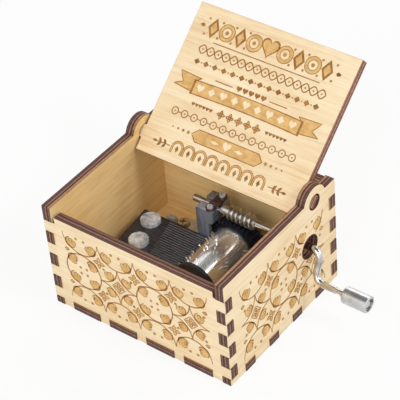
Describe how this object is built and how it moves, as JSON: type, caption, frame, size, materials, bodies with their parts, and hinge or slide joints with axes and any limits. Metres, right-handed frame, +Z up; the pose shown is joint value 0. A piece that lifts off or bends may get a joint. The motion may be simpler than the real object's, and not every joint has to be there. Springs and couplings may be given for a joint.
{
  "type": "hand-cranked music box",
  "caption": "Small plywood music box with an open lid, a hand crank with a turning knob, and a pinned cylinder that plays a steel comb through a worm gear.",
  "frame": {"origin": "centre of the case's bottom face, on the table", "axes": "+X to the right along the front, out along the crank's shaft; +Y from the front panel to the hinge side; +Z up"},
  "size_m": [0.088, 0.078, 0.0655],
  "materials": {
    "plywood": "bare laser-cut plywood with dark end grain",
    "zinc_casting": "plain zinc casting, lightly polished",
    "post_casting": "blue-grey casting",
    "comb_steel": "dark hardened steel",
    "lead_weights": "dull lead",
    "nickel_screws": "nickel plated",
    "gunmetal": "dark blued steel",
    "bright_nickel": "bright nickel plating",
    "black_plastic": "black moulded plastic",
    "arbor_steel": "plain turned steel",
    "worm_steel": "dark oiled steel",
    "nickel_wire": "bright nickel-plated wire",
    "knob_aluminium": "turned aluminium"
  },
  "bodies": {
    "box": {"front_panel": "plywood", "back_panel": "plywood", "left_panel": "plywood", "right_panel": "plywood", "bottom_panel": "plywood", "bedplate": "zinc_casting", "comb": "comb_steel", "tooth_weights": "lead_weights", "comb_screws": "nickel_screws", "mounting_screws": "nickel_screws", "strap_screws": "gunmetal", "left_bearing_post": "post_casting", "right_bearing_post": "post_casting", "left_shaft_strap": "gunmetal", "right_shaft_strap": "gunmetal"},
    "lid": {"lid_panel": "plywood"},
    "crank": {"crank_wire": "nickel_wire", "worm": "worm_steel", "thrust_collar": "arbor_steel"},
    "handle": {"knob": "knob_aluminium"},
    "cylinder": {"cylinder_shell": "bright_nickel", "cylinder_pins": "bright_nickel", "cylinder_end_cap": "black_plastic", "worm_gear": "black_plastic", "cylinder_arbor": "arbor_steel"}
  },
  "joints": [
    {"name": "lid_hinge", "type": "hinge", "parent": "box", "child": "lid", "pos_m": [0, 0.017, 0.0368], "axis": [-1, 0, 0], "range_deg": [-140, 12]},
    {"name": "crank_spin", "type": "hinge", "parent": "box", "child": "crank", "pos_m": [0.0325, 0.0138, 0.022], "axis": [1, 0, 0], "continuous": true},
    {"name": "knob_spin", "type": "hinge", "parent": "crank", "child": "handle", "pos_m": [0.0511, 0.0099, 0.0136], "axis": [1, 0, 0], "continuous": true},
    {"name": "cylinder_spin", "type": "hinge", "parent": "box", "child": "cylinder", "pos_m": [0.0064, 0.0013, 0.012], "axis": [0, 1, 0], "continuous": true}
  ],
  "couplings": [
    {"joint": "cylinder_spin", "follows": "crank_spin", "ratio": -0.03125}
  ]
}
